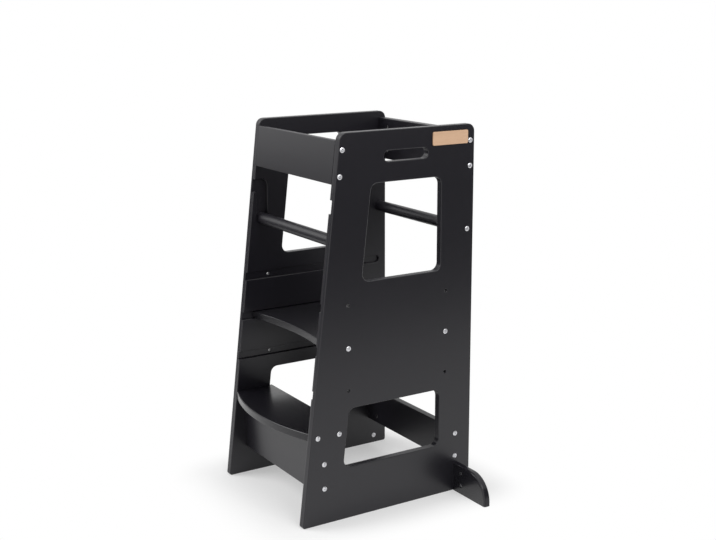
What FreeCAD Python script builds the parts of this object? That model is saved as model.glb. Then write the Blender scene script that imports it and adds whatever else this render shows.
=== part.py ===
import FreeCAD, Part
import math
import os

# A learning tower: a child's standing platform between two plywood side panels.
# +Z is up, -Y is the climbing side, +X is the side with the badge plate.
# The origin is on the floor, in the middle of the footprint. All sizes are in millimetres.

# ---- driving sizes: panels -------------------------------------------------------------
BOARD = 18.0                  # thickness of every panel and board
PANEL_HEIGHT = 900.0
BASE_DEPTH = 472.0            # depth of a panel at the floor
TOP_DEPTH = 364.5             # depth at the top, because the front edge leans back
CLEAR_WIDTH = 360.0           # between the inner faces of the two panels
PANEL_CORNER = 18.0           # upper corners
PANEL_BASE_CORNER = 6.0
EDGE_BEVEL = 1.5              # eased rims of the panels and long edges of the boards

WINDOW_FRONT_MARGIN = 94.5    # wood in front of a window
WINDOW_REAR_MARGIN = 92.8     # wood behind it
WINDOW_CORNER = 18.0
UPPER_WINDOW_DROP = 117.0     # from the panel's top down to the window
UPPER_WINDOW_SILL = 561.0
LOWER_WINDOW_HEAD = 268.0
LOWER_WINDOW_SILL = 126.0

SLOT_LENGTH = 120.0           # hand slot
SLOT_HEIGHT = 25.0
SLOT_DROP = 59.0
SLOT_SET_IN = 191.0           # from the rear edge to the slot's middle

# ---- driving sizes: rails --------------------------------------------------------------
RAIL_DIAMETER = 28.0
RAIL_PLAY = 1.5               # between the safety rail and each wall of its groove
RAIL_GROOVE_DEPTH = 10.0
RAIL_END_PLAY = 1.0
RAIL_ENTRY_DROP = 163.0       # from the panel's top to the middle of the entry
RAIL_SEAT_DROP = 244.0        # from the panel's top to the middle of the groove's round seat
RAIL_LIP = 7.0                # wood in front of the groove, just under the entry
RAIL_LIP_ROUND = 3.0
RAIL_SEAT_GAP = 0.3           # between the rail at rest and the bottom of its seat
RAIL_END_CHAMFER = 1.5
MID_RAIL_DROP = 247.0
MID_RAIL_SET_IN = 18.0        # from the rear edge to the rail's axis

# ---- driving sizes: boards -------------------------------------------------------------
FRONT_GUARD_HEIGHT = 98.0
FRONT_GUARD_DROP = 17.0
FRONT_GUARD_BOLT_INSET = 19.5
REAR_GUARD_HEIGHT = 104.0
REAR_GUARD_DROP = 16.0
REAR_GUARD_SET_IN = 3.5
REAR_GUARD_BOLT_INSET = 22.25

PLATFORM_LEVELS = 3
PLATFORM_PITCH = 100.0
PLATFORM_LOWEST = 311.0       # height of the lowest level's bolts
PLATFORM_LEVEL_IN_USE = 1     # 0 is the lowest
PLATFORM_DEPTH = 363.5
PLATFORM_SET_IN = 30.5
PLATFORM_HOLLOW = 22.0        # how far the front edge curves in
PLATFORM_BOLT_INSET = 47.0
PLATFORM_GROOVE_DEPTH = 6.0
PLATFORM_TOP_PLAY = 1.5
PLATFORM_END_PLAY = 0.5

STEP_TOP = 221.0
STEP_SIDE_DEPTH = 100.0
STEP_BOW = 34.0               # how far the front edge curves out
STEP_BOLT_INSET = 16.0
STEP_BOLT_PITCH = 56.5

APRON_SETBACK = 23.0          # from the step's front corners
APRON_BOTTOM = 70.0
APRON_LOW_BOLT = 17.0         # above the apron's lower edge
APRON_HIGH_BOLT = 56.5        # below its upper edge

CROSS_BOTTOM = 72.0
CROSS_HEIGHT = 90.0
CROSS_SET_IN = 35.5
CROSS_LOW_BOLT = 17.5         # above the board's lower edge
CROSS_HIGH_BOLT = 14.5        # below its upper edge

FOOT_LENGTH = 125.0
FOOT_HEIGHT = 70.5
FOOT_SET_IN = 29.0
FOOT_BROW = 62.0              # radius of the rounded outer shoulder
FOOT_BEVEL = 3.0
FOOT_BOLT_HEIGHT = 21.0
FOOT_PIN_HEIGHT = 52.0
FOOT_PIN_DEPTH = 12.0         # how far the pin goes into the panel
FOOT_NUT_INSET = 29.0

BADGE_LENGTH = 99.5
BADGE_HEIGHT = 31.5
BADGE_THICKNESS = 3.0
BADGE_CORNER = 4.0
BADGE_SET_IN = 20.5
BADGE_DROP = 13.0

# ---- driving sizes: fasteners, many-sided bars because they repeat so often --------------
BOLT_DIAMETER = 6.0
BOLT_HOLE = 7.0
BOLT_HEAD = 12.0
BOLT_HEAD_THICKNESS = 2.0
BOLT_TIP = 7.0                # how far a bolt runs past the axis of its nut
BOLT_TIP_CLEARANCE = 2.0
PIN_END_CLEARANCE = 1.0
NUT_DIAMETER = 10.0
NUT_LENGTH = 12.0
NUT_THREAD_PLAY = 0.1
NUT_POCKET_PLAY = 0.2
NUT_INSET = 40.0              # from a board's end to the axis of its nuts
INSERT_DIAMETER = 11.0
INSERT_LENGTH = 20.0
SHANK_SIDES = 6
HOLE_SIDES = 6
NUT_SIDES = 8
HEAD_SIDES = 12

# ---- places worked out from the sizes --------------------------------------------------
Vector = FreeCAD.Vector
ACROSS = Vector(1, 0, 0)
BACK = Vector(0, 1, 0)
UP = Vector(0, 0, 1)
HALF = CLEAR_WIDTH / 2
OUTER = HALF + BOARD
STEP_CORNER_DEPTH = BASE_DEPTH + (TOP_DEPTH - BASE_DEPTH) * STEP_TOP / PANEL_HEIGHT
OVERALL_DEPTH = max(BASE_DEPTH, STEP_CORNER_DEPTH + STEP_BOW)
REAR = OVERALL_DEPTH / 2
REAR_GUARD_BACK = REAR - REAR_GUARD_SET_IN
LEAN = math.atan2(BASE_DEPTH - TOP_DEPTH, PANEL_HEIGHT)
GROOVE_HALF = RAIL_DIAMETER / 2 + RAIL_PLAY
RAIL_ENTRY = PANEL_HEIGHT - RAIL_ENTRY_DROP
RAIL_SEAT = PANEL_HEIGHT - RAIL_SEAT_DROP
RAIL_REST = RAIL_SEAT - RAIL_PLAY + RAIL_SEAT_GAP
MID_RAIL_HEIGHT = PANEL_HEIGHT - MID_RAIL_DROP
NUT_POCKET = NUT_DIAMETER / 2 + NUT_POCKET_PLAY


def front_edge(height):
    """Return the Y of the panels' leaning front edge at a height."""
    return REAR - BASE_DEPTH + (BASE_DEPTH - TOP_DEPTH) * height / PANEL_HEIGHT


RAIL_Y = front_edge(RAIL_ENTRY - GROOVE_HALF) + RAIL_LIP + GROOVE_HALF
PLATFORM_HEIGHT = PLATFORM_LOWEST + PLATFORM_PITCH * PLATFORM_LEVEL_IN_USE
PLATFORM_REAR = REAR - PLATFORM_SET_IN
PLATFORM_FRONT = PLATFORM_REAR - PLATFORM_DEPTH
STEP_FRONT = front_edge(STEP_TOP)
APRON_TOP = STEP_TOP - BOARD


# ---- outlines --------------------------------------------------------------------------
def rounded_outline(corners):
    """Return the closed wire through (point, radius) corners, each rounded by its radius."""
    ends, arcs = [], []
    for index, (corner, radius) in enumerate(corners):
        before = corners[index - 1][0].sub(corner).normalize()
        after = corners[(index + 1) % len(corners)][0].sub(corner).normalize()
        if radius == 0:
            ends.append((corner, corner))
            arcs.append([])
            continue
        half_angle = before.getAngle(after) / 2
        reach = radius / math.tan(half_angle)
        inward = before.add(after).normalize()
        middle = corner.add(inward * (radius / math.sin(half_angle) - radius))
        enter = corner.add(before * reach)
        leave = corner.add(after * reach)
        ends.append((enter, leave))
        arcs.append([Part.Arc(enter, middle, leave).toShape()])
    loop = []
    for index, (enter, leave) in enumerate(ends):
        following = ends[(index + 1) % len(ends)][0]
        loop += arcs[index] + [Part.makeLine(leave, following)]
    return Part.Wire(loop)


def side_outline(corners):
    """Return a face in the YZ plane from (y, z, radius) corners."""
    return Part.Face(rounded_outline([(Vector(0, y, z), r) for y, z, r in corners]))


def across(face, start, end):
    """Return a face of the YZ plane drawn out along X from start to end."""
    moved = face.copy()
    moved.translate(ACROSS * start)
    return moved.extrude(ACROSS * (end - start))


def bar(start, way, diameter, length, sides):
    """Return a many-sided bar inside a diameter, from a start point along a way."""
    turns = [2 * math.pi * (corner + 0.5) / sides for corner in range(sides)]
    radius = diameter / 2
    points = [Vector(radius * math.cos(turn), radius * math.sin(turn), 0) for turn in turns]
    solid = Part.Face(Part.makePolygon(points + [points[0]])).extrude(UP * length)
    solid.Placement = FreeCAD.Placement(start, FreeCAD.Rotation(UP, way))
    return solid


def drill(solid, start, way, diameter, length, sides=None):
    """Return the solid with a hole along a way, round or with flats that clear the diameter."""
    if sides is None:
        return solid.cut(Part.makeCylinder(diameter / 2, length, start, way))
    return solid.cut(bar(start, way, diameter / math.cos(math.pi / sides), length, sides))


def mirrored(shape):
    """Return the shape's twin on the other side of the tower."""
    return shape.mirror(Vector(0, 0, 0), ACROSS)


# ---- fixings ---------------------------------------------------------------------------
class Fixing:
    """A bolt axis across the tower, the same on both sides, with the way its nut pocket opens."""

    def __init__(self, y, z, nut_way):
        self.y = y
        self.z = z
        self.nut_way = nut_way

    def at(self, x):
        """Return the point of the axis at a place along X."""
        return Vector(x, self.y, self.z)


def guard_slope():
    """Return the unit vectors up along the leaning front edge and back into the tower."""
    along = Vector(0, math.sin(LEAN), math.cos(LEAN))
    inward = Vector(0, math.cos(LEAN), -math.sin(LEAN))
    return along, inward


def front_guard_fixings():
    """Return the bolt axes of the leaning front guard."""
    along, inward = guard_slope()
    top = PANEL_HEIGHT - FRONT_GUARD_DROP
    edge = Vector(0, front_edge(top), top).add(inward * (BOARD / 2))
    drops = [FRONT_GUARD_BOLT_INSET, FRONT_GUARD_HEIGHT - FRONT_GUARD_BOLT_INSET]
    places = [edge.sub(along * drop) for drop in drops]
    return [Fixing(place.y, place.z, inward) for place in places]


def rear_guard_fixings():
    """Return the bolt axes of the upright rear guard."""
    top = PANEL_HEIGHT - REAR_GUARD_DROP
    heights = [top - REAR_GUARD_BOLT_INSET, top - REAR_GUARD_HEIGHT + REAR_GUARD_BOLT_INSET]
    return [Fixing(REAR_GUARD_BACK - BOARD / 2, height, BACK * -1) for height in heights]


def platform_fixings(level):
    """Return the bolt axes of the platform at one of its levels."""
    height = PLATFORM_LOWEST + PLATFORM_PITCH * level
    places = [PLATFORM_FRONT + PLATFORM_BOLT_INSET, PLATFORM_REAR - PLATFORM_BOLT_INSET]
    return [Fixing(place, height, UP * -1) for place in places]


def step_fixings():
    """Return the bolt axes of the step."""
    height = STEP_TOP - BOARD / 2
    places = [STEP_FRONT + STEP_BOLT_INSET, STEP_FRONT + STEP_BOLT_INSET + STEP_BOLT_PITCH]
    return [Fixing(place, height, UP * -1) for place in places]


def apron_fixings():
    """Return the bolt axes of the board under the step."""
    middle = STEP_FRONT + APRON_SETBACK + BOARD / 2
    heights = [APRON_BOTTOM + APRON_LOW_BOLT, APRON_TOP - APRON_HIGH_BOLT]
    return [Fixing(middle, height, BACK) for height in heights]


def cross_fixings():
    """Return the bolt axes of the low rear board."""
    middle = REAR - CROSS_SET_IN - BOARD / 2
    heights = [CROSS_BOTTOM + CROSS_LOW_BOLT, CROSS_BOTTOM + CROSS_HEIGHT - CROSS_HIGH_BOLT]
    return [Fixing(middle, height, BACK * -1) for height in heights]


def mid_rail_fixings():
    """Return the one bolt axis of the rear rail."""
    return [Fixing(REAR - MID_RAIL_SET_IN, MID_RAIL_HEIGHT, BACK)]


def foot_bolt_fixing():
    """Return the axis of a foot's bolt."""
    return Fixing(REAR - FOOT_SET_IN - BOARD / 2, FOOT_BOLT_HEIGHT, BACK * -1)


def foot_pin_fixing():
    """Return the axis of a foot's headless pin, above its bolt."""
    return Fixing(REAR - FOOT_SET_IN - BOARD / 2, FOOT_PIN_HEIGHT, BACK * -1)


def used_fixings():
    """Return every bolt axis through a panel that holds a bolt."""
    fixings = front_guard_fixings() + rear_guard_fixings() + mid_rail_fixings()
    fixings += step_fixings() + apron_fixings() + cross_fixings() + [foot_bolt_fixing()]
    return fixings + platform_fixings(PLATFORM_LEVEL_IN_USE)


def spare_fixings():
    """Return the open bolt axes of the platform's other levels."""
    spare_levels = [level for level in range(PLATFORM_LEVELS) if level != PLATFORM_LEVEL_IN_USE]
    return [fixing for level in spare_levels for fixing in platform_fixings(level)]


def tie(board, fixings, end=HALF):
    """Return a board with its bolt holes and nut pockets at both ends."""
    reach = end - HALF + NUT_INSET + BOLT_TIP + BOLT_TIP_CLEARANCE
    for fixing in fixings:
        for side in (1, -1):
            mouth = fixing.at(side * end)
            board = drill(board, mouth, ACROSS * -side, BOLT_HOLE, reach, HOLE_SIDES)
            nut = fixing.at(side * (HALF - NUT_INSET))
            seat = nut.sub(fixing.nut_way * (NUT_LENGTH / 2 + NUT_POCKET_PLAY))
            depth = NUT_LENGTH + BOARD
            board = drill(board, seat, fixing.nut_way, 2 * NUT_POCKET, depth, NUT_SIDES)
    return board


def bolt(head, way, length):
    """Return a connector bolt whose flat head sits at a point and whose shank runs along a way."""
    shank = bar(head, way, BOLT_DIAMETER, length, SHANK_SIDES)
    return shank.fuse(bar(head, way * -1, BOLT_HEAD, BOLT_HEAD_THICKNESS, HEAD_SIDES))


def barrel_nut(centre, open_way):
    """Return a cross nut with its thread hole along X."""
    start = centre.sub(open_way * (NUT_LENGTH / 2))
    nut = bar(start, open_way, NUT_DIAMETER, NUT_LENGTH, NUT_SIDES)
    thread = BOLT_DIAMETER + 2 * NUT_THREAD_PLAY
    mouth = centre.sub(ACROSS * NUT_DIAMETER)
    return drill(nut, mouth, ACROSS, thread, 2 * NUT_DIAMETER, SHANK_SIDES)


def bolts_for(fixings, inset=NUT_INSET):
    """Return the bolts of both sides, driven in from outside the panels."""
    length = BOARD + inset + BOLT_TIP
    return [bolt(f.at(side * OUTER), ACROSS * -side, length) for f in fixings for side in (1, -1)]


def nuts_for(fixings):
    """Return the barrel nuts of both sides."""
    return [barrel_nut(f.at(side * (HALF - NUT_INSET)), f.nut_way) for f in fixings for side in (1, -1)]


# ---- side panels -----------------------------------------------------------------------
def window(head, sill):
    """Return the outline of a window whose front side runs along with the leaning edge."""
    front_low = front_edge(sill) + WINDOW_FRONT_MARGIN
    front_high = front_edge(head) + WINDOW_FRONT_MARGIN
    rear = REAR - WINDOW_REAR_MARGIN
    corners = [(front_low, sill), (rear, sill), (rear, head), (front_high, head)]
    return side_outline([(y, z, WINDOW_CORNER) for y, z in corners])


def hand_slot():
    """Return the outline of the slot that hands hold."""
    middle_y = REAR - SLOT_SET_IN
    middle_z = PANEL_HEIGHT - SLOT_DROP
    straight = (SLOT_LENGTH - SLOT_HEIGHT) / 2
    half = SLOT_HEIGHT / 2
    front_low, rear_low = (Vector(0, middle_y + way * straight, middle_z - half) for way in (-1, 1))
    front_high, rear_high = (Vector(0, middle_y + way * straight, middle_z + half) for way in (-1, 1))
    rear_tip = Vector(0, middle_y + straight + half, middle_z)
    front_tip = Vector(0, middle_y - straight - half, middle_z)
    rear_end = Part.Arc(rear_low, rear_tip, rear_high).toShape()
    front_end = Part.Arc(front_high, front_tip, front_low).toShape()
    lower, upper = Part.makeLine(front_low, rear_low), Part.makeLine(rear_high, front_high)
    return Part.Face(Part.Wire([lower, rear_end, upper, front_end]))


def panel_blank():
    """Return the right panel's board with its windows and hand slot, edges eased."""
    corners = [
        (front_edge(0), 0, PANEL_BASE_CORNER),
        (REAR, 0, PANEL_BASE_CORNER),
        (REAR, PANEL_HEIGHT, PANEL_CORNER),
        (front_edge(PANEL_HEIGHT), PANEL_HEIGHT, PANEL_CORNER),
    ]
    face = side_outline(corners)
    face = face.cut(window(PANEL_HEIGHT - UPPER_WINDOW_DROP, UPPER_WINDOW_SILL))
    face = face.cut(window(LOWER_WINDOW_HEAD, LOWER_WINDOW_SILL))
    face = face.cut(hand_slot())
    board = across(face, HALF, OUTER)
    rims = [edge for edge in board.Edges if edge.BoundBox.XLength < 0.01]
    return board.makeChamfer(EDGE_BEVEL, rims)


def rail_groove():
    """Return the outline of the J-shaped groove: in from the front edge, then down to a seat."""
    low, high = RAIL_ENTRY - GROOVE_HALF, RAIL_ENTRY + GROOVE_HALF
    front, rear = RAIL_Y - GROOVE_HALF, RAIL_Y + GROOVE_HALF
    outside = front_edge(low) - BOARD
    corners = [
        (outside, low, 0),
        (front, low, RAIL_LIP_ROUND),
        (front, RAIL_SEAT - GROOVE_HALF, GROOVE_HALF * 0.999),
        (rear, RAIL_SEAT - GROOVE_HALF, GROOVE_HALF * 0.999),
        (rear, high, GROOVE_HALF),
        (outside, high, 0),
    ]
    return side_outline(corners)


def platform_groove(level):
    """Return the outline of a platform groove, open at the front and round at its rear end."""
    height = PLATFORM_LOWEST + PLATFORM_PITCH * level
    floor = height - BOARD / 2
    ceiling = height + BOARD / 2 + PLATFORM_TOP_PLAY
    half = (ceiling - floor) / 2
    end = PLATFORM_REAR + half
    outside = front_edge(floor) - BOARD
    corners = [
        (outside, floor, 0),
        (end, floor, half * 0.999),
        (end, ceiling, half * 0.999),
        (outside, ceiling, 0),
    ]
    return side_outline(corners)


def right_panel():
    """Return the right side panel, with grooves in its inner face and all its bolt holes."""
    panel = panel_blank()
    panel = panel.cut(across(rail_groove(), HALF - BOARD, HALF + RAIL_GROOVE_DEPTH))
    for level in range(PLATFORM_LEVELS):
        groove = across(platform_groove(level), HALF - BOARD, HALF + PLATFORM_GROOVE_DEPTH)
        panel = panel.cut(groove)
    for fixing in spare_fixings():
        panel = drill(panel, fixing.at(HALF - BOARD), ACROSS, BOLT_HOLE, 3 * BOARD)
    for fixing in used_fixings():
        panel = drill(panel, fixing.at(HALF - BOARD), ACROSS, BOLT_HOLE, 3 * BOARD, HOLE_SIDES)
    depth = FOOT_PIN_DEPTH + PIN_END_CLEARANCE
    return drill(panel, foot_pin_fixing().at(OUTER), ACROSS * -1, BOLT_HOLE, depth, HOLE_SIDES)


# ---- boards between the panels ---------------------------------------------------------
def straight_board(low, along, inward, height):
    """Return a board across the tower from its low front corner, its long edges eased."""
    high = low.add(along * height)
    depth = inward * BOARD
    corners = [low, low.add(depth), high.add(depth), high]
    board = Part.Face(Part.makePolygon(corners + [low])).extrude(ACROSS * CLEAR_WIDTH)
    board.translate(ACROSS * -HALF)
    long_edges = [edge for edge in board.Edges if edge.BoundBox.XLength > HALF]
    return board.makeChamfer(EDGE_BEVEL, long_edges)


def upright_board(rear_face, bottom, top):
    """Return an upright board between the panels."""
    return straight_board(Vector(0, rear_face - BOARD, bottom), UP, BACK, top - bottom)


def front_guard():
    """Return the top front board, which leans with the front edges."""
    along, inward = guard_slope()
    top = PANEL_HEIGHT - FRONT_GUARD_DROP
    low = Vector(0, front_edge(top), top).sub(along * FRONT_GUARD_HEIGHT)
    return tie(straight_board(low, along, inward, FRONT_GUARD_HEIGHT), front_guard_fixings())


def rear_guard():
    """Return the top rear board."""
    top = PANEL_HEIGHT - REAR_GUARD_DROP
    return tie(upright_board(REAR_GUARD_BACK, top - REAR_GUARD_HEIGHT, top), rear_guard_fixings())


def curved_board(half_width, front, rear, bow, top):
    """Return a level board whose front edge curves out by bow, or in where bow is negative."""
    radius = (half_width**2 + bow**2) / (2 * bow)
    wide = half_width + BOARD
    set_back = radius - math.copysign(math.sqrt(radius**2 - wide**2), radius)
    left, right = (Vector(side * wide, front - bow + set_back, top) for side in (-1, 1))
    rear_right, rear_left = Vector(wide, rear, top), Vector(-wide, rear, top)
    edges = [
        Part.Arc(left, Vector(0, front - bow, top), right).toShape(),
        Part.makeLine(right, rear_right),
        Part.makeLine(rear_right, rear_left),
        Part.makeLine(rear_left, left),
    ]
    board = Part.Face(Part.Wire(edges)).extrude(UP * -BOARD)
    long_edges = [edge for edge in board.Edges if edge.BoundBox.XLength > half_width]
    board = board.makeChamfer(EDGE_BEVEL, long_edges)
    corner = Vector(-half_width, -OVERALL_DEPTH, 0)
    return board.common(Part.makeBox(2 * half_width, 2 * OVERALL_DEPTH, PANEL_HEIGHT, corner))


def platform():
    """Return the standing board at the level in use, its ends inside the panels' grooves."""
    end = HALF + PLATFORM_GROOVE_DEPTH - PLATFORM_END_PLAY
    top = PLATFORM_HEIGHT + BOARD / 2
    board = curved_board(end, PLATFORM_FRONT, PLATFORM_REAR, -PLATFORM_HOLLOW, top)
    return tie(board, platform_fixings(PLATFORM_LEVEL_IN_USE), end)


def step():
    """Return the lower step with its bowed front edge."""
    rear = STEP_FRONT + STEP_SIDE_DEPTH
    return tie(curved_board(HALF, STEP_FRONT, rear, STEP_BOW, STEP_TOP), step_fixings())


def step_apron():
    """Return the board that stiffens the tower under the step."""
    rear_face = STEP_FRONT + APRON_SETBACK + BOARD
    return tie(upright_board(rear_face, APRON_BOTTOM, APRON_TOP), apron_fixings())


def rear_cross_board():
    """Return the low board at the rear."""
    top = CROSS_BOTTOM + CROSS_HEIGHT
    return tie(upright_board(REAR - CROSS_SET_IN, CROSS_BOTTOM, top), cross_fixings())


# ---- rails -----------------------------------------------------------------------------
def round_rail(y, z, half_length):
    """Return a round bar along X with bevelled ends."""
    bar = Part.makeCylinder(RAIL_DIAMETER / 2, 2 * half_length, Vector(-half_length, y, z), ACROSS)
    rims = [edge for edge in bar.Edges if edge.BoundBox.XLength < 0.01]
    return bar.makeChamfer(RAIL_END_CHAMFER, rims)


def safety_rail():
    """Return the front rail as it lies in the seats of both grooves."""
    return round_rail(RAIL_Y, RAIL_REST, HALF + RAIL_GROOVE_DEPTH - RAIL_END_PLAY)


def mid_rail():
    """Return the fixed rear rail with pockets for its threaded inserts."""
    fixing = mid_rail_fixings()[0]
    rail = Part.makeCylinder(RAIL_DIAMETER / 2, CLEAR_WIDTH, fixing.at(-HALF), ACROSS)
    pocket = INSERT_DIAMETER + 2 * NUT_POCKET_PLAY
    reach = INSERT_LENGTH + BOLT_TIP + BOLT_TIP_CLEARANCE
    for side in (1, -1):
        mouth, way = fixing.at(side * HALF), ACROSS * -side
        rail = drill(rail, mouth, way, pocket, INSERT_LENGTH, NUT_SIDES)
        rail = drill(rail, mouth, way, BOLT_HOLE, reach, HOLE_SIDES)
    return rail


def mid_rail_inserts():
    """Return the two threaded sleeves in the ends of the rear rail."""
    fixing = mid_rail_fixings()[0]
    sleeves = []
    thread = BOLT_DIAMETER + 2 * NUT_THREAD_PLAY
    for side in (1, -1):
        mouth, way = fixing.at(side * HALF), ACROSS * -side
        sleeve = bar(mouth, way, INSERT_DIAMETER, INSERT_LENGTH, NUT_SIDES)
        sleeves.append(drill(sleeve, mouth, way, thread, INSERT_LENGTH, SHANK_SIDES))
    return sleeves


# ---- feet ------------------------------------------------------------------------------
def right_foot():
    """Return the foot that reaches out sideways from the right panel, its upper edges eased."""
    toe = OUTER + FOOT_LENGTH
    rear_face = REAR - FOOT_SET_IN
    corners = [(OUTER, -BOARD, 0), (toe, -BOARD, 0), (toe, FOOT_HEIGHT, FOOT_BROW), (OUTER, FOOT_HEIGHT, 0)]
    wire = rounded_outline([(Vector(x, rear_face, z), radius) for x, z, radius in corners])
    foot = Part.Face(wire).extrude(BACK * -BOARD)
    rims = [edge for edge in foot.Edges if edge.BoundBox.YLength < 0.01 and edge.BoundBox.ZMax > 0.01]
    rims = [edge for edge in rims if edge.CenterOfMass.x > OUTER + 0.01]
    foot = foot.makeChamfer(FOOT_BEVEL, rims)
    corner = Vector(OUTER - BOARD, rear_face - 1.5 * BOARD, -BOARD)
    foot = foot.cut(Part.makeBox(2 * FOOT_LENGTH, 2 * BOARD, BOARD, corner))
    reach = FOOT_NUT_INSET + BOLT_TIP + BOLT_TIP_CLEARANCE
    for fixing in [foot_bolt_fixing(), foot_pin_fixing()]:
        nut = fixing.at(OUTER + FOOT_NUT_INSET)
        foot = drill(foot, fixing.at(OUTER), ACROSS, BOLT_HOLE, reach, HOLE_SIDES)
        seat = nut.sub(fixing.nut_way * (NUT_LENGTH / 2 + NUT_POCKET_PLAY))
        foot = drill(foot, seat, fixing.nut_way, 2 * NUT_POCKET, NUT_LENGTH + BOARD, NUT_SIDES)
    return foot


def right_foot_bolt():
    """Return the bolt of the right foot, driven from inside the panel."""
    return bolt(foot_bolt_fixing().at(HALF), ACROSS, BOARD + FOOT_NUT_INSET + BOLT_TIP)


def right_foot_pin():
    """Return the headless pin that keeps the right foot from turning."""
    start = foot_pin_fixing().at(OUTER - FOOT_PIN_DEPTH)
    length = FOOT_PIN_DEPTH + FOOT_NUT_INSET + BOLT_TIP
    return bar(start, ACROSS, BOLT_DIAMETER, length, SHANK_SIDES)


def right_foot_nuts():
    """Return the barrel nuts of the right foot."""
    fixings = [foot_bolt_fixing(), foot_pin_fixing()]
    return [barrel_nut(f.at(OUTER + FOOT_NUT_INSET), f.nut_way) for f in fixings]


# ---- badge plate -----------------------------------------------------------------------
def badge_plate():
    """Return the small bare plate near the right panel's top rear corner."""
    rear, top = REAR - BADGE_SET_IN, PANEL_HEIGHT - BADGE_DROP
    front, bottom = rear - BADGE_LENGTH, top - BADGE_HEIGHT
    corners = [(front, bottom), (rear, bottom), (rear, top), (front, top)]
    face = side_outline([(y, z, BADGE_CORNER) for y, z in corners])
    return across(face, OUTER, OUTER + BADGE_THICKNESS)


# ---- assembly --------------------------------------------------------------------------
def nodes():
    """Return every named node of the tower."""
    in_use = platform_fixings(PLATFORM_LEVEL_IN_USE)
    panel, foot = right_panel(), right_foot()
    foot_bolt, foot_pin, foot_nuts = right_foot_bolt(), right_foot_pin(), right_foot_nuts()
    group = Part.makeCompound
    return {
        "side_panel_right": panel,
        "side_panel_left": mirrored(panel),
        "top_guard_front": front_guard(),
        "top_guard_rear": rear_guard(),
        "safety_rail_front": safety_rail(),
        "rear_mid_rail": mid_rail(),
        "platform": platform(),
        "step": step(),
        "step_apron": step_apron(),
        "rear_cross_board": rear_cross_board(),
        "foot_right": foot,
        "foot_left": mirrored(foot),
        "badge_plate": badge_plate(),
        "top_guard_front_bolts": group(bolts_for(front_guard_fixings())),
        "top_guard_rear_bolts": group(bolts_for(rear_guard_fixings())),
        "rear_mid_rail_bolts": group(bolts_for(mid_rail_fixings(), INSERT_LENGTH)),
        "platform_bolts": group(bolts_for(in_use)),
        "step_bolts": group(bolts_for(step_fixings())),
        "step_apron_bolts": group(bolts_for(apron_fixings())),
        "rear_cross_board_bolts": group(bolts_for(cross_fixings())),
        "foot_right_bolt": foot_bolt,
        "foot_left_bolt": mirrored(foot_bolt),
        "foot_right_pin": foot_pin,
        "foot_left_pin": mirrored(foot_pin),
        "top_guard_front_nuts": group(nuts_for(front_guard_fixings())),
        "top_guard_rear_nuts": group(nuts_for(rear_guard_fixings())),
        "rear_mid_rail_inserts": group(mid_rail_inserts()),
        "platform_nuts": group(nuts_for(in_use)),
        "step_nuts": group(nuts_for(step_fixings())),
        "step_apron_nuts": group(nuts_for(apron_fixings())),
        "rear_cross_board_nuts": group(nuts_for(cross_fixings())),
        "foot_right_nuts": group(foot_nuts),
        "foot_left_nuts": group([mirrored(piece) for piece in foot_nuts]),
    }


os.makedirs("parts", exist_ok=True)
for name, shape in nodes().items():
    shape.exportStep(os.path.join("parts", name + ".step"))
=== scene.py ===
"""Builds the looks of a child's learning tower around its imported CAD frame.

Every board, rail, foot and fastener is made again with soft rims and finer curves, and
stands for the CAD node of the same place. Lengths are in metres, in the row frame:
+Z is up, -Y is the climbing side and +X is the side with the bare badge plate.
"""

import sys

import logging
import math
from dataclasses import dataclass, field
from enum import Enum
from functools import cached_property
from typing import Any, Callable, Sequence

import bmesh
import bpy
from mathutils import Matrix, Quaternion, Vector


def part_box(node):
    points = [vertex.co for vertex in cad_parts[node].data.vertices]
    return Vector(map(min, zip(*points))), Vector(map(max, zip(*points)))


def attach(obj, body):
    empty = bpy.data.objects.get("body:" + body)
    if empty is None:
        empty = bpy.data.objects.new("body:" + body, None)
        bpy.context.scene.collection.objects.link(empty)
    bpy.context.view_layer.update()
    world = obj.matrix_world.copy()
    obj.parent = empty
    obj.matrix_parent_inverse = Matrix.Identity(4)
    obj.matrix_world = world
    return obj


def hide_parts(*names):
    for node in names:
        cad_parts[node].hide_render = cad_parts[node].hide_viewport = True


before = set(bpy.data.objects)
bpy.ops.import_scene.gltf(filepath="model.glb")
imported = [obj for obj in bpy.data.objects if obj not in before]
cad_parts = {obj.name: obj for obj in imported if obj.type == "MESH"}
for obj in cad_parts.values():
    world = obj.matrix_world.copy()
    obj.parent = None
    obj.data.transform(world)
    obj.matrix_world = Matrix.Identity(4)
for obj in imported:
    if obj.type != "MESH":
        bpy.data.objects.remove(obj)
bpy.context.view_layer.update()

LOG = logging.getLogger("tower")
Pair = tuple[float, float]
Triple = tuple[float, float, float]
Colour = Triple
Corner = tuple[float, float, float]  # u, v and the radius that rounds it
Loop = list[Vector]
Piece = bpy.types.Object
Mesh = bmesh.types.BMesh
Spot = tuple[Vector, Vector]  # a place, and the way of the Z of what is set on it

X, Y, Z = Vector((1, 0, 0)), Vector((0, 1, 0)), Vector((0, 0, 1))
ARC_STEP = math.radians(7.5)  # turn between two points of a rounded corner
CREASE = math.radians(28)  # least angle between faces that stays sharp
NEAR_X = (1.0, 0.0001, 0.0002)  # along X, but parallel to no fixing
RIM_STEPS = 5  # faces round one edge of a board's rim
BOW_STEPS = 72  # points along a curved front edge
NEARLY = 0.995  # share of half a width that rounds it, with a short flat left
BEYOND = 0.02  # how far a cutter, or an end that is trimmed later, sticks out
RAYS = ("Camera", "Glossy", "Transmission")  # rays that look at a surface


class Side(Enum):
    """The two sides of the tower, as the sign of their X."""

    RIGHT = 1
    LEFT = -1

    @property
    def word(self) -> str:
        """The side's name, as the CAD nodes spell it."""
        return self.name.lower()


class Grain(Enum):
    """The way the wood's fibres run under the paint, as stretches of the pattern."""

    ACROSS = (0.05, 1.0, 1.0)
    BACK = (1.0, 0.05, 1.0)
    UP = (1.0, 1.0, 0.05)


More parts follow.
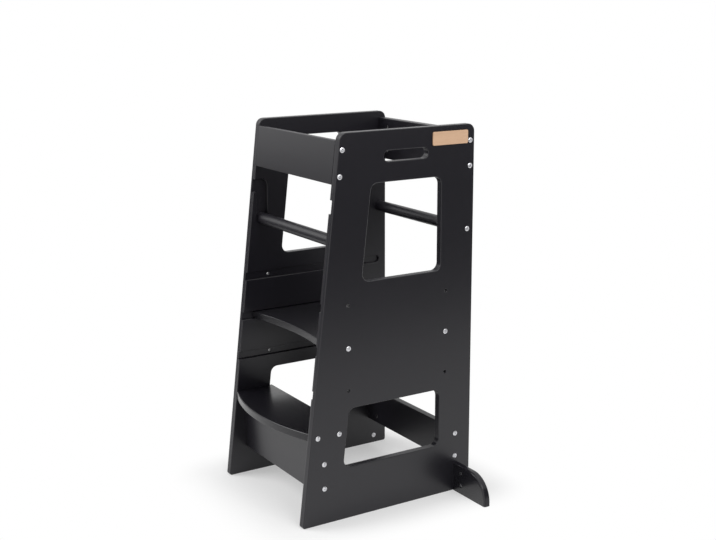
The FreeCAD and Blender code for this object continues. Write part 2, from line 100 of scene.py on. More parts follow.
class Slot(Enum):
    """The record's material slots."""

    PANEL = "painted_panel"
    BOARD = "painted_board"
    RAIL = "painted_rail"
    BADGE = "badge_wood"
    BOLT = "bolt_steel"
    NUT = "nut_steel"


# ---- node trees ------------------------------------------------------------------------
def operator(operation: str) -> Callable[["Wire", Any], "Wire"]:
    """Makes a method of a wire out of a Math node.

    Args:
        operation: The node's operation.

    Returns:
        The method, which gives the result of the node on a wire and another value.
    """

    def method(wire: "Wire", other: Any) -> "Wire":
        """Returns the result of the node on a wire and another value."""
        return wire.bench.node("ShaderNodeMath", {"operation": operation}, {0: wire, 1: other})

    return method


class Wire:
    """A node's output that arithmetic can be written with."""

    __add__ = operator("ADD")
    __sub__ = operator("SUBTRACT")
    __mul__ = operator("MULTIPLY")
    __truediv__ = operator("DIVIDE")

    def __init__(self, bench: "Bench", socket: bpy.types.NodeSocket | None) -> None:
        """Holds the bench that the wire's node stands on, and the socket."""
        self.bench = bench
        self.socket = socket

    def __rsub__(self, other: Any) -> "Wire":
        """Returns other - self."""
        return self.bench.node("ShaderNodeMath", {"operation": "SUBTRACT"}, {0: other, 1: self})

    def __neg__(self) -> "Wire":
        """Returns -self."""
        return self * -1.0


class Bench:
    """A node tree with one way to put a node into it."""

    def __init__(self, tree: bpy.types.NodeTree) -> None:
        """Holds the tree that nodes go into."""
        self.tree = tree

    def node(
        self,
        kind: str,
        settings: dict[str, Any] | None = None,
        inputs: dict[int | str, Any] | None = None,
        output: int | str = 0,
    ) -> Wire:
        """Adds a node.

        Args:
            kind: The node's type, such as ShaderNodeMath.
            settings: Its own settings, which are set before its sockets.
            inputs: Values or wires by the socket's name or number.
            output: The output that the returned wire holds.

        Returns:
            The wire of that output, or an empty one where the node has none.
        """
        made = self.tree.nodes.new(kind)
        for key, value in (settings or {}).items():
            if key == "switch_items":
                for _ in range(value - len(made.index_switch_items)):
                    made.index_switch_items.new()
            else:
                setattr(made, key, value)
        for key, value in (inputs or {}).items():
            if isinstance(value, Wire):
                self.tree.links.new(value.socket, made.inputs[key])
            else:
                made.inputs[key].default_value = value
        return Wire(self, made.outputs[output] if made.outputs else None)

    def seen(self) -> Wire:
        """Finds whether a surface is looked at.

        Returns:
            1 or more where it is, also in a mirror or through glass.
        """
        path = self.tree.nodes.new("ShaderNodeLightPath")
        camera, glossy, clear = (path.outputs[f"Is {ray} Ray"] for ray in RAYS)
        return Wire(self, camera) + Wire(self, glossy) + Wire(self, clear)


class ShaderBench(Bench):
    """The tree of a material, with the patterns that the finishes share."""

    def __init__(self, name: str) -> None:
        """Makes an empty material.

        Args:
            name: The material's name.
        """
        self.material = bpy.data.materials.new(name)
        self.material.use_nodes = True
        super().__init__(self.material.node_tree)
        self.tree.nodes.clear()

    @cached_property
    def place(self) -> Wire:
        """The object coordinates, which are the row frame's own metres."""
        return self.node("ShaderNodeTexCoord", output="Object")

    def noise(
        self,
        scale: float,
        detail: float = 2.0,
        rough: float = 0.5,
        stretch: Triple | None = None,
    ) -> Wire:
        """Makes a cloudy pattern around one half.

        Args:
            scale: The number of clouds to a metre.
            detail: The number of finer layers.
            rough: How strong the finer layers are.
            stretch: The scales of the three axes, of which the small ones draw the pattern out.

        Returns:
            The pattern.
        """
        place = self.place
        if stretch:
            place = self.node("ShaderNodeMapping", None, {"Vector": place, "Scale": stretch})
        inputs = {"Vector": place, "Scale": scale, "Detail": detail, "Roughness": rough}
        return self.node("ShaderNodeTexNoise", None, inputs, "Fac")

    def attribute(self, name: str) -> Wire:
        """Returns a number that the mesh carries on its points."""
        return self.node("ShaderNodeAttribute", {"attribute_name": name}, None, "Fac")

    def between(self, value: Wire, low: float, high: float) -> Wire:
        """Returns a soft step from 0 at low to 1 at high."""
        settings = {"interpolation_type": "SMOOTHSTEP"}
        return self.node("ShaderNodeMapRange", settings, {0: value, 1: low, 2: high})

    def blend(self, mask: Any, first: Any, second: Any) -> Wire:
        """Returns a colour between two, by a mask."""
        first, second = (c if isinstance(c, Wire) else (*c, 1.0) for c in (first, second))
        return self.node("ShaderNodeMix", {"data_type": "RGBA"}, {0: mask, 6: first, 7: second}, 2)

    def bump(self, height: Wire, strength: float, distance: float) -> Wire:
        """Returns the normal of a fine relief."""
        inputs = {"Strength": strength, "Distance": distance, "Height": height}
        return self.node("ShaderNodeBump", None, inputs)

    def shader(self, kind: str, **sockets: Any) -> Wire:
        """Returns a shader, its sockets given by name with _ for a space."""
        return self.node(kind, None, {key.replace("_", " "): v for key, v in sockets.items()})

    def output(self, shader: Wire) -> bpy.types.Material:
        """Ends the tree in a shader and returns the finished material."""
        self.node("ShaderNodeOutputMaterial", None, {"Surface": shader})
        return self.material


# ---- finishes --------------------------------------------------------------------------
@dataclass(frozen=True)
class SatinPaint:
    """Black satin paint on plywood, through which the fibres show faintly.

    The mesh carries ply_depth, from 0 to 1 through the board, and cut_edge, which is 1 on
    the rim. There the plies show, the lacquer soaks in and the paint rubs thin.
    """

    name: str
    grain: Grain
    deep: Colour = (0.0062, 0.0056, 0.0086)
    pale: Colour = (0.0090, 0.0081, 0.0124)
    rubbed: Colour = (0.036, 0.034, 0.038)
    roughness: float = 0.50
    gloss: float = 0.08
    lacquer: float = 0.80
    lacquer_roughness: float = 0.30
    soaked: float = 0.35
    skin: Pair = (0.07, 0.17)
    plies: float = 13.0
    ply_drift: float = 1.5
    fleck_range: Pair = (0.62, 0.74)
    trodden: float = 0.0
    sole_stretch: Triple = (30.0, 7.0, 1.0)
    relief: Pair = (0.22, 0.00025)

    def make(self) -> bpy.types.Material:
        """Builds the paint's nodes.

        Returns:
            The material.
        """
        bench = ShaderBench(self.name)
        cloud = bench.noise(7.0, 3.0)
        fibre = bench.noise(420.0, 4.0, 0.6, self.grain.value)
        vein = bench.noise(90.0, 3.0, stretch=self.grain.value)
        peel = bench.noise(1500.0, 1.0)
        fleck = bench.between(bench.noise(260.0, 4.0, 0.7), *self.fleck_range)
        rim, depth = bench.attribute("cut_edge"), bench.attribute("ply_depth")
        waves = {0: depth * (math.pi * self.plies) + vein * self.ply_drift}
        layers = bench.node("ShaderNodeMath", {"operation": "SINE"}, waves)
        skin, core = self.skin
        flank = bench.between(depth, skin, core) * bench.between(depth, 1 - skin, 1 - core) * rim
        scuff = self._scuffs(bench, depth)
        tone = bench.blend(cloud * 0.7 + vein * 0.3, self.deep, self.pale)
        rough = cloud * 0.10 + fibre * 0.08 + rim * 0.07 + scuff * 0.12 + (self.roughness - 0.09)
        height = fibre * 0.5 + vein * 0.3 + peel * 0.35 + layers * rim * 0.45
        return bench.output(bench.shader(
            "ShaderNodeBsdfPrincipled",
            Base_Color=bench.blend(fleck * rim * 0.5 + scuff * 0.5, tone, self.rubbed),
            Roughness=rough,
            Specular_IOR_Level=self.gloss,
            Coat_Weight=(1 - flank * self.soaked - scuff * 0.5) * self.lacquer,
            Coat_Roughness=self.lacquer_roughness,
            Normal=bench.bump(height, *self.relief),
        ))

    def _scuffs(self, bench: ShaderBench, depth: Wire) -> Wire:
        """Makes the faint marks that soles leave on an upper face.

        Args:
            bench: The finish's bench.
            depth: The depth in the board, 1 at its upper face.

        Returns:
            The marks, 0 where there are none.
        """
        streaks = bench.noise(5.0, 5.0, 0.65, self.sole_stretch)
        patch = bench.between(bench.noise(9.0), 0.42, 0.62)
        upper = bench.between(depth, 0.985, 0.999)
        return bench.between(streaks, 0.60, 0.72) * patch * upper * self.trodden


@dataclass(frozen=True)
class BareWood:
    """Pale oiled wood with fine growth lines."""

    name: str
    light: Colour = (0.70, 0.465, 0.305)
    dark: Colour = (0.54, 0.33, 0.20)
    gloss: float = 0.4
    roughness: float = 0.42
    relief: Pair = (0.35, 0.0001)

    def make(self) -> bpy.types.Material:
        """Builds the bare wood's nodes.

        Returns:
            The material.
        """
        bench = ShaderBench(self.name)
        along = Grain.BACK.value
        drift = bench.noise(60.0, stretch=along)
        lines = bench.noise(700.0, 5.0, 0.65, along)
        pores = bench.between(bench.noise(2600.0, stretch=along), 0.60, 0.70)
        rim = bench.attribute("cut_edge")
        mask = drift * 0.6 + lines * 0.5 + rim * 0.35 + pores * 0.25 - 0.25
        return bench.output(bench.shader(
            "ShaderNodeBsdfPrincipled",
            Base_Color=bench.blend(bench.between(mask, 0.0, 1.0), self.light, self.dark),
            Roughness=lines * 0.18 + self.roughness,
            Specular_IOR_Level=self.gloss,
            Normal=bench.bump(lines * 0.6 - pores * 0.5, *self.relief),
        ))


@dataclass(frozen=True)
class PlatedSteel:
    """Zinc-plated steel, turned and slightly clouded."""

    name: str
    colour: Colour = (0.80, 0.80, 0.82)
    clouded: Colour = (0.62, 0.62, 0.65)
    roughness: float = 0.34
    turning: Triple = (40.0, 1.0, 1.0)
    relief: Pair = (0.15, 0.00005)

    def make(self) -> bpy.types.Material:
        """Builds the metal's nodes.

        Returns:
            The material.
        """
        bench = ShaderBench(self.name)
        cloud = bench.noise(420.0, 3.0)
        turned = bench.noise(900.0, stretch=self.turning)
        return bench.output(bench.shader(
            "ShaderNodeBsdfPrincipled",
            Base_Color=bench.blend(cloud, self.colour, self.clouded),
            Metallic=1.0,
            Roughness=cloud * 0.16 + turned * 0.06 + (self.roughness - 0.08),
            Normal=bench.bump(turned, *self.relief),
        ))


@dataclass(frozen=True)
class Finish:
    """A material, with the record's slot that it comes from."""

    material: bpy.types.Material
    slot: Slot


class Finishes:
    """The tower's finishes, each made once."""

    def __init__(self) -> None:
        """Makes every finish."""
        panel = SatinPaint("paint_panel", Grain.UP, lacquer=0.96)
        board = SatinPaint("paint_board", Grain.ACROSS)
        # Darker deep and pale colours than the other paint: painted shade on the platform and step,
        # as if a child stood on them.
        shaded_tread = SatinPaint(
            "paint_shaded_tread", Grain.ACROSS,
            deep=(0.0040, 0.0036, 0.0056), pale=(0.0060, 0.0054, 0.0083),
            lacquer=0.86, lacquer_roughness=0.22, soaked=0.0, trodden=0.6,
        )
        foot = SatinPaint("paint_foot", Grain.ACROSS, lacquer=1.0, lacquer_roughness=0.21)
        rail = SatinPaint("paint_rail", Grain.ACROSS, lacquer=0.66, lacquer_roughness=0.36)
        nut = PlatedSteel("nut_zinc", (0.66, 0.66, 0.67), (0.5, 0.5, 0.51), 0.38)
        self.panel = Finish(panel.make(), Slot.PANEL)
        self.board = Finish(board.make(), Slot.BOARD)
        self.shaded_tread = Finish(shaded_tread.make(), Slot.BOARD)
        self.foot = Finish(foot.make(), Slot.BOARD)
        self.rail = Finish(rail.make(), Slot.RAIL)
        self.badge = Finish(BareWood("badge_wood").make(), Slot.BADGE)
        self.bolt = Finish(PlatedSteel("bolt_zinc").make(), Slot.BOLT)
        self.nut = Finish(nut.make(), Slot.NUT)


# ---- outlines and meshes ---------------------------------------------------------------
def rounded_loop(corners: Sequence[Corner]) -> Loop:
    """Makes an outline with arcs at its corners.

    Args:
        corners: The corners, anticlockwise.

    Returns:
        The points round the outline.
    """
    loop: Loop = []
    for index, (u, v, radius) in enumerate(corners):
        here = Vector((u, v))
        if radius == 0:
            loop.append(here)
            continue
        last, following = corners[index - 1], corners[(index + 1) % len(corners)]
        before = (Vector(last[:2]) - here).normalized()
        after = (Vector(following[:2]) - here).normalized()
        half = before.angle(after) / 2
        centre = here + (before + after).normalized() * (radius / math.sin(half))
        start = here + before * (radius / math.tan(half)) - centre
        sweep = math.copysign(math.pi - 2 * half, after.cross(before))
        steps = max(3, math.ceil(abs(sweep) / ARC_STEP))
        for step in range(steps + 1):
            loop.append(centre + Matrix.Rotation(sweep * step / steps, 2) @ start)
    return loop


def oblong(u: Sequence[float], v: Sequence[float], radius: float = 0.0) -> Loop:
    """Returns the outline between two values of u and two of v, its corners rounded."""
    corners = [(u[0], v[0]), (u[1], v[0]), (u[1], v[1]), (u[0], v[1])]
    return rounded_loop([(*corner, radius) for corner in corners])


def inset_loop(loop: Loop, distance: float) -> Loop:
    """Moves an anticlockwise loop inwards.

    Args:
        loop: The loop's points.
        distance: How far every side moves.

    Returns:
        The moved loop.
    """
    moved: Loop = []
    for index, here in enumerate(loop):
        into = (here - loop[index - 1]).normalized()
        out = (loop[(index + 1) % len(loop)] - here).normalized()
        first, second = Vector((-into.y, into.x)), Vector((-out.y, out.x))
        moved.append(here + (first + second) * (distance / (1 + first.dot(second))))
    return moved


def rounded_rows(thickness: float, radius: float) -> list[Pair]:
    """Goes up the rim of a board, from face to face.

    Args:
        thickness: The board's thickness.
        radius: The radius of both its edges.

    Returns:
        The (inset, depth) rows.
    """
    turns = [math.pi / 2 * step / RIM_STEPS for step in range(RIM_STEPS + 1)]
    rows = [(radius * (1 - math.sin(t)), radius * (1 - math.cos(t))) for t in turns]
    return rows + [(inset, thickness - depth) for inset, depth in reversed(rows)]


def placed(origin: Vector, u: Vector, v: Vector) -> Matrix:
    """Returns the matrix from an outline's plane to the row frame."""
    return Matrix.Translation(origin) @ Matrix((u, v, u.cross(v))).transposed().to_4x4()


@dataclass
class Slab:
    """A board of even thickness with rounded rims, and openings right through it."""

    outline: Loop
    thickness: float
    rounding: float
    openings: list[Loop] = field(default_factory=list)

    def mesh(self) -> Mesh:
        """Builds the slab, its outline in XY and its thickness along Z.

        Returns:
            The closed mesh.
        """
        bm = bmesh.new()
        ply = bm.verts.layers.float.new("ply_depth")
        rim = bm.verts.layers.float.new("cut_edge")
        rows = rounded_rows(self.thickness, self.rounding)
        faces: tuple[list, list] = ([], [])
        for loop, way in [(self.outline, 1), *((opening, -1) for opening in self.openings)]:
            rings = []
            for number, (inset, depth) in enumerate(rows):
                ring = [bm.verts.new((*point, depth)) for point in inset_loop(loop, inset * way)]
                for vert in ring:
                    vert[ply] = depth / self.thickness
                    vert[rim] = float(0 < number < len(rows) - 1)
                rings.append(ring)
            bridge(bm, rings)
            faces[0].append(rings[0])
            faces[1].append(rings[-1])
        for rings in faces:
            fill(bm, rings)
        return bm


def bridge(bm: Mesh, rings: Sequence[list]) -> None:
    """Joins closed rings of points one after the other.

    Args:
        bm: The mesh that they are in.
        rings: The rings, of equal length.
    """
    for low, high in zip(rings, rings[1:]):
        for index in range(len(low)):
            bm.faces.new((low[index - 1], low[index], high[index], high[index - 1]))


def fill(bm: Mesh, rings: Sequence[list]) -> None:
    """Closes a flat face between rings of points that edges join."""
    edges = [bm.edges.get((ring[i - 1], ring[i])) for ring in rings for i in range(len(ring))]
    bmesh.ops.triangle_fill(bm, use_beauty=True, use_dissolve=False, edges=edges)


def trim(bm: Mesh, point: Sequence[float], outward: Sequence[float]) -> None:
    """Cuts away what lies beyond a plane and closes the cut.

    Args:
        bm: The mesh.
        point: A point of the plane.
        outward: The direction of what is cut away.
    """
    everything = bm.verts[:] + bm.edges[:] + bm.faces[:]
    cut = bmesh.ops.bisect_plane(
        bm, geom=everything, plane_co=point, plane_no=outward, clear_outer=True
    )
    edges = [item for item in cut["geom_cut"] if isinstance(item, bmesh.types.BMEdge)]
    bmesh.ops.triangle_fill(bm, use_beauty=True, use_dissolve=False, edges=edges)


def show(name: str, mesh: bpy.types.Mesh) -> Piece:
    """Puts a new object in the scene.

    Args:
        name: The object's name.
        mesh: Its mesh or lamp.

    Returns:
        The object.
    """
    made = bpy.data.objects.new(name, mesh)
    bpy.context.scene.collection.objects.link(made)
    return made


def as_object(bm: Mesh, name: str, place: Matrix) -> Piece:
    """Makes an object of a mesh.

    Args:
        bm: The mesh, which this uses up.
        name: The object's name.
        place: Its place in the row frame.

    Returns:
        The object.
    """
    bm.transform(place)
    bmesh.ops.recalc_face_normals(bm, faces=bm.faces[:])
    mesh = bpy.data.meshes.new(name)
    bm.to_mesh(mesh)
    bm.free()
    return show(name, mesh)


def settle(piece: Piece) -> None:
    """Makes the result of a piece's modifiers its plain mesh, and removes them.

    Args:
        piece: The piece.
    """
    graph = bpy.context.evaluated_depsgraph_get()
    result = piece.evaluated_get(graph)
    mesh = bpy.data.meshes.new_from_object(result, preserve_all_data_layers=True, depsgraph=graph)
    piece.modifiers.clear()
    old, piece.data = piece.data, mesh
    mesh.name = piece.name
    bpy.data.meshes.remove(old)


def carve(piece: Piece, cutters: Sequence[Piece]) -> None:
    """Takes the shapes of cutters out of a piece, one after the other.

    Args:
        piece: The piece.
        cutters: The cutters, which are then removed.
    """
    for cutter in cutters:
        cut = piece.modifiers.new("cut", "BOOLEAN")
        cut.operation, cut.solver, cut.object = "DIFFERENCE", "MANIFOLD", cutter
    settle(piece)
    for cutter in cutters:
        bpy.data.objects.remove(cutter)


def move_to(piece: Piece, side: Side) -> None:
    """Mirrors a piece of the right side if it belongs to the left.

    Args:
        piece: The piece.
        side: The side that it belongs to.
    """
    if side is Side.LEFT:
        piece.data.transform(Matrix.Scale(-1, 4, X))
        piece.data.flip_normals()


def dress(piece: Piece, finish: Finish, node: str, body: str = "tower") -> None:
    """Shades a piece smooth, gives it its finish, hangs it on its body and hides the CAD node it
    stands for.

    Args:
        piece: The plain mesh.
        finish: Its finish.
        node: The CAD node that it replaces.
        body: The CAD body that it moves with.
    """
    piece.data.shade_smooth()
    piece.data.set_sharp_from_angle(angle=CREASE)
    even = piece.modifiers.new("even", "WEIGHTED_NORMAL")
    even.mode, even.weight, even.keep_sharp = "FACE_AREA", 50, True
    settle(piece)
    piece.data.materials.clear()
    piece.data.materials.append(finish.material)
    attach(piece, body)
    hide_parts(node)
    box = [[round(v, 4) for v in piece.bound_box[corner]] for corner in (0, 6)]
    LOG.info("%s: %d faces, %s to %s", piece.name, len(piece.data.polygons), *box)


# ---- sizes and fixings -----------------------------------------------------------------
@dataclass(frozen=True)
class Fixing:
    """A bolt axis across the tower, with the way that its nut's pocket opens."""

    y: float
    z: float
    opening: Vector

    def at(self, x: float) -> Vector:
        """Returns the axis's point at a place along X."""
        return Vector((x, self.y, self.z))


def column(y: float, heights: Sequence[float], opening: Vector) -> list[Fixing]:
    """Returns bolt axes one above the other."""
    return [Fixing(y, z, opening) for z in heights]


def ends(fixings: Sequence[Fixing], x: float) -> list[Spot]:
    """Returns the points at x from the middle on both sides, and the ways outwards."""
    return [(f.at(side.value * x), X * side.value) for f in fixings for side in Side]


def nut_spots(fixings: Sequence[Fixing], x: float, rise: float = 0.0) -> list[Spot]:
    """Finds the points of nuts on both sides.

    Args:
        fixings: The bolt axes.
        x: The distance from the middle of the tower.
        rise: How far the points are raised towards the nuts' openings.

    Returns:
        The points, each with the way to its opening.
    """
    return [
        (f.at(side.value * x) + f.opening * rise, f.opening) for f in fixings for side in Side
    ]


@dataclass(frozen=True)
class TowerSizes:
    """The sizes that the sub-assemblies share, as the CAD source has them."""

    board: float = 0.018
    half: float = 0.180
    rear: float = 0.2398014
    height: float = 0.900
    base_depth: float = 0.472
    top_depth: float = 0.3645
    soft_rim: float = 0.002
    front_guard_height: float = 0.098
    front_guard_drop: float = 0.017
    front_guard_inset: float = 0.0195
    rear_guard_height: float = 0.104
    rear_guard_drop: float = 0.016
    rear_guard_inset: float = 0.02225
    rear_guard_set_in: float = 0.0035
    cross_edges: Pair = (0.072, 0.162)
    cross_set_in: float = 0.0355
    cross_bolts: Pair = (0.0895, 0.1475)
    mid_rail_set_in: float = 0.018
    mid_rail_drop: float = 0.247
    platform_depth: float = 0.3635
    platform_set_in: float = 0.0305
    platform_hollow: float = 0.022
    platform_inset: float = 0.047
    platform_overhang: float = 0.0055
    platform_levels: tuple[float, ...] = (0.311, 0.411, 0.511)
    platform_level: float = 0.411
    step_top: float = 0.221
    step_depth: float = 0.100
    step_bow: float = 0.034
    step_bolts: Pair = (0.016, 0.0725)
    apron_bottom: float = 0.070
    apron_setback: float = 0.023
    apron_bolts: Pair = (0.087, 0.1465)
    foot_set_in: float = 0.029
    foot_bolt: float = 0.021
    foot_pin: float = 0.052
    foot_nut_inset: float = 0.029
    pin_depth: float = 0.012
    hole: float = 0.0035
    hole_ease: float = 0.0002
    bolt_tip: float = 0.007
    bolt_tip_clearance: float = 0.002
    nut_inset: float = 0.040
    sleeve_length: float = 0.020
    sleeve_radius: float = 0.0055
    thread: float = 0.0031
    pocket: float = 0.0052
    pocket_reach: float = 0.0062

    @property
    def outer(self) -> float:
        """The X of the panels' outer faces."""
        return self.half + self.board

    @property
    def up_slope(self) -> Vector:
        """The way up along the leaning front edge."""
        lean = math.atan2(self.base_depth - self.top_depth, self.height)
        return Vector((0, math.sin(lean), math.cos(lean)))

    @property
    def in_slope(self) -> Vector:
        """The way into the tower, square to the leaning edge."""
        return self.up_slope.cross(X)

    @property
    def pocket_depth(self) -> float:
        """How deep the nuts' pockets are, from a board's face."""
        return self.board / 2 + self.pocket_reach

    @property
    def apron_front(self) -> float:
        """The Y of the front face of the board under the step."""
        return self.front(self.step_top) + self.apron_setback

    def front(self, z: float) -> float:
        """Returns the Y of the leaning front edge at a height."""
        return self.rear - self.base_depth + (self.base_depth - self.top_depth) * z / self.height

    def bore(self, inset: float) -> float:
        """Returns how deep a bolt's hole is in a board's end, given its nut's inset."""
        return inset + self.bolt_tip + self.bolt_tip_clearance

    def platform(self, level: float) -> list[Fixing]:
        """Lists the bolt axes of the platform.

        Args:
            level: The height of its middle.

        Returns:
            The bolt axes.
        """
        rear = self.rear - self.platform_set_in
        places = (rear - self.platform_depth + self.platform_inset, rear - self.platform_inset)
        return [Fixing(y, level, -Z) for y in places]

    def fixings(self) -> dict[str, list[Fixing]]:
        """Lists the bolt axes of every group.

        Returns:
            The bolt axes, by the name of their CAD node.
        """
        half, rear, into = self.board / 2, self.rear, self.in_slope
        top, inset = self.height - self.front_guard_drop, self.front_guard_inset
        edge = Vector((0, self.front(top), top)) + into * half
        drops = (inset, self.front_guard_height - inset)
        leaning = [edge - self.up_slope * drop for drop in drops]
        top, inset = self.height - self.rear_guard_drop, self.rear_guard_inset
        guard, step = (top - inset, top - self.rear_guard_height + inset), self.front(self.step_top)
        foot, rail = (self.foot_bolt, self.foot_pin), [self.height - self.mid_rail_drop]
        return {
            "top_guard_front": [Fixing(place.y, place.z, into) for place in leaning],
            "top_guard_rear": column(rear - self.rear_guard_set_in - half, guard, -Y),
            "platform": self.platform(self.platform_level),
            "step": [Fixing(step + y, self.step_top - half, -Z) for y in self.step_bolts],
            "step_apron": column(self.apron_front + half, self.apron_bolts, Y),
            "rear_cross_board": column(rear - self.cross_set_in - half, self.cross_bolts, -Y),
            "rear_mid_rail": column(rear - self.mid_rail_set_in, rail, Y),
            "foot": column(rear - self.foot_set_in - half, foot, -Y),
        }


SIZES = TowerSizes()
FIXINGS = SIZES.fixings()


# ---- turned pieces by geometry nodes ---------------------------------------------------
class TurnedTree:
    """A geometry tree that turns a profile and sets it on points.

    The points carry "way", the direction of the piece's own Z. Rows of the profile are
    (height, radius) pairs of numbers or wires, from the lowest up.
    """

    def __init__(self, name: str, inputs: dict[str, float]) -> None:
        """Makes the tree with its named inputs.

        Args:
            name: The tree's name.
            inputs: The named sizes and their values.
        """
        tree = bpy.data.node_groups.new(name, "GeometryNodeTree")
        self.bench = Bench(tree)
        make = tree.interface.new_socket
        make("Points", in_out="INPUT", socket_type="NodeSocketGeometry")
        for label, value in inputs.items():
            make(label, in_out="INPUT", socket_type="NodeSocketFloat").default_value = value
        make("Finish", in_out="INPUT", socket_type="NodeSocketMaterial")
        make("Pieces", in_out="OUTPUT", socket_type="NodeSocketGeometry")
        self.source = tree.nodes.new("NodeGroupInput")

    def size(self, label: str) -> Wire:
        """Returns the wire of a named input."""
        return Wire(self.bench, self.source.outputs[label])

    def turned(self, rows: Sequence[tuple[Any, Any]], sides: int = 32) -> Wire:
        """Turns a profile about Z.

        Args:
            rows: The profile's (height, radius) pairs.
            sides: The number of points around it.

        Returns:
            The closed shape.
        """
        bench, count = self.bench, len(rows)
        index = bench.node("GeometryNodeInputIndex")
        settings = {"data_type": "FLOAT", "switch_items": count}
        columns = [{"Index": index, **dict(enumerate(column, 1))} for column in zip(*rows)]
        height, radius = (
            bench.node("GeometryNodeIndexSwitch", settings, column) for column in columns
        )
        line = bench.node("GeometryNodeMeshLine", {"mode": "OFFSET"}, {"Count": count})
        curve = bench.node("GeometryNodeMeshToCurve", None, {0: line})
        curve = bench.node("GeometryNodeSetPosition", None, {
            "Geometry": curve,
            "Position": bench.node("ShaderNodeCombineXYZ", None, {"Z": height}),
        })
        curve = bench.node("GeometryNodeSetCurveRadius", None, {"Curve": curve, "Radius": radius})
        ring = bench.node("GeometryNodeCurvePrimitiveCircle", None, {
            "Resolution": sides, "Radius": 1.0,
        })
        return bench.node("GeometryNodeCurveToMesh", None, {
            "Curve": curve, "Profile Curve": ring, "Scale": radius, "Fill Caps": True,
        })

    def raised(self, kind: str, height: Wire, sizes: dict[str, Any]) -> Wire:
        """Makes a mesh primitive that is moved up along Z.

        Args:
            kind: The primitive's node.
            height: How far it moves.
            sizes: The node's inputs.

        Returns:
            The moved mesh.
        """
        bench = self.bench
        shape = bench.node(kind, None, sizes)
        move = bench.node("ShaderNodeCombineXYZ", None, {"Z": height})
        return bench.node("GeometryNodeTransform", None, {"Geometry": shape, "Translation": move})

    def less(self, shape: Wire, *cutters: Wire) -> Wire:
        """Takes shapes out of a shape.

        Args:
            shape: The shape.
            *cutters: What is taken out of it.

        Returns:
            What is left.
        """
        settings = {"operation": "DIFFERENCE", "solver": "MANIFOLD"}
        for cutter in cutters:
            meshes = {"Mesh 1": shape, "Mesh 2": cutter}
            shape = self.bench.node("GeometryNodeMeshBoolean", settings, meshes)
        return shape

    def finish(self, shape: Wire) -> "TurnedTree":
        """Sets the shape on every point and ends the tree.

        Args:
            shape: The shape.

        Returns:
            The tree itself.
        """
        bench = self.bench
        way = bench.node(
            "GeometryNodeInputNamedAttribute", {"data_type": "FLOAT_VECTOR"}, {"Name": "way"}
        )
        turn = bench.node(
            "FunctionNodeAxesToRotation", {"primary_axis": "Z", "secondary_axis": "X"},
            {0: way, 1: NEAR_X},
        )
        pieces = bench.node("GeometryNodeInstanceOnPoints", None, {
            "Points": self.size("Points"), "Instance": shape, "Rotation": turn,
        })
        pieces = bench.node("GeometryNodeRealizeInstances", None, {"Geometry": pieces})
        pieces = bench.node("GeometryNodeSetMaterial", None, {
            "Geometry": pieces, "Material": self.size("Finish"),
        })
        bench.node("NodeGroupOutput", None, {"Pieces": pieces})
        return self

    def set_on(
        self, name: str, spots: Sequence[Spot], finish: Finish | None = None, **sizes: float
    ) -> Piece:
        """Sets the shape on spots.

        Args:
            name: The new object's name.
            spots: The place of each piece, and the way of its own Z.
            finish: The finish of the pieces.
            sizes: Inputs that differ from the tree's own, with _ for a space.

        Returns:
            The plain mesh of them all.
        """
        mesh = bpy.data.meshes.new(name)
        mesh.from_pydata([tuple(place) for place, _ in spots], [], [])
        ways = mesh.attributes.new("way", "FLOAT_VECTOR", "POINT")
        ways.data.foreach_set("vector", [number for _, way in spots for number in way])
        made = show(name, mesh)
        series = made.modifiers.new("series", "NODES")
        series.node_group = self.bench.tree
        for socket in self.bench.tree.interface.items_tree:
            key = socket.name.lower().replace(" ", "_")
            if key in sizes:
                series[socket.identifier] = sizes[key]
            elif key == "finish" and finish:
                series[socket.identifier] = finish.material
        settle(made)
        return made


def bolt_tree() -> TurnedTree:
    """Makes the tree of flat-headed connector bolts, whose head's seat is at the point.

    Returns:
        The tree.
    """
    tree = TurnedTree("connector_bolts", {
        "Shank length": 0.065, "Shank radius": 0.003, "Head radius": 0.006,
        "Head thickness": 0.002, "Head rim": 0.0009,
        "Key width": 0.004, "Key depth": 0.0028,
    })
    size = tree.size
    length, shank, head = size("Shank length"), size("Shank radius"), size("Head radius")
    top, edge, eased, crown = size("Head thickness"), size("Head rim"), 0.0002, 0.55
    rows = [
        (-length, shank * 0.75), (-length + shank * 0.3, shank), (-eased / 10, shank),
        (0.0, head - eased), (eased, head), (edge, head),
    ]
    for share in (0.97, 0.92, 0.85, 0.76, 0.66, crown):
        rows.append((edge + (top - edge) * (1 - share**2) / (1 - crown**2), head * share))
    key = tree.raised("GeometryNodeMeshCylinder", top, {
        "Vertices": 6, "Radius": size("Key width") / math.sqrt(3), "Depth": size("Key depth") * 2,
    })
    return tree.finish(tree.less(tree.turned(rows), key))


def nut_tree() -> TurnedTree:
    """Makes the tree of barrel nuts, whose middle is at the point and whose Z opens.

    Returns:
        The tree.
    """
    tree = TurnedTree("barrel_nuts", {
        "Length": 0.012, "Radius": 0.005, "Rounding": 0.0005,
        "Thread radius": SIZES.thread, "Slot width": 0.0014, "Slot depth": 0.0013,
    })
    size, bench, through = tree.size, tree.bench, 0.03
    half, radius, rounding = size("Length") / 2, size("Radius"), size("Rounding")
    rows = [
        (-half, radius - rounding),
        (-half + rounding, radius),
        (half - rounding, radius),
        (half - rounding * 0.3, radius - rounding * 0.3),
        (half, radius - rounding),
    ]
    thread = bench.node("GeometryNodeMeshCylinder", None, {
        "Vertices": 24, "Radius": size("Thread radius"), "Depth": through,
    })
    thread = bench.node("GeometryNodeTransform", None, {
        "Geometry": thread, "Rotation": (0.0, math.pi / 2, 0.0),
    })
    sides = {"X": through, "Y": size("Slot width"), "Z": size("Slot depth") * 2}
    slot = tree.raised("GeometryNodeMeshCube", half, {
        "Size": bench.node("ShaderNodeCombineXYZ", None, sides),
    })
    return tree.finish(tree.less(tree.turned(rows), thread, slot))


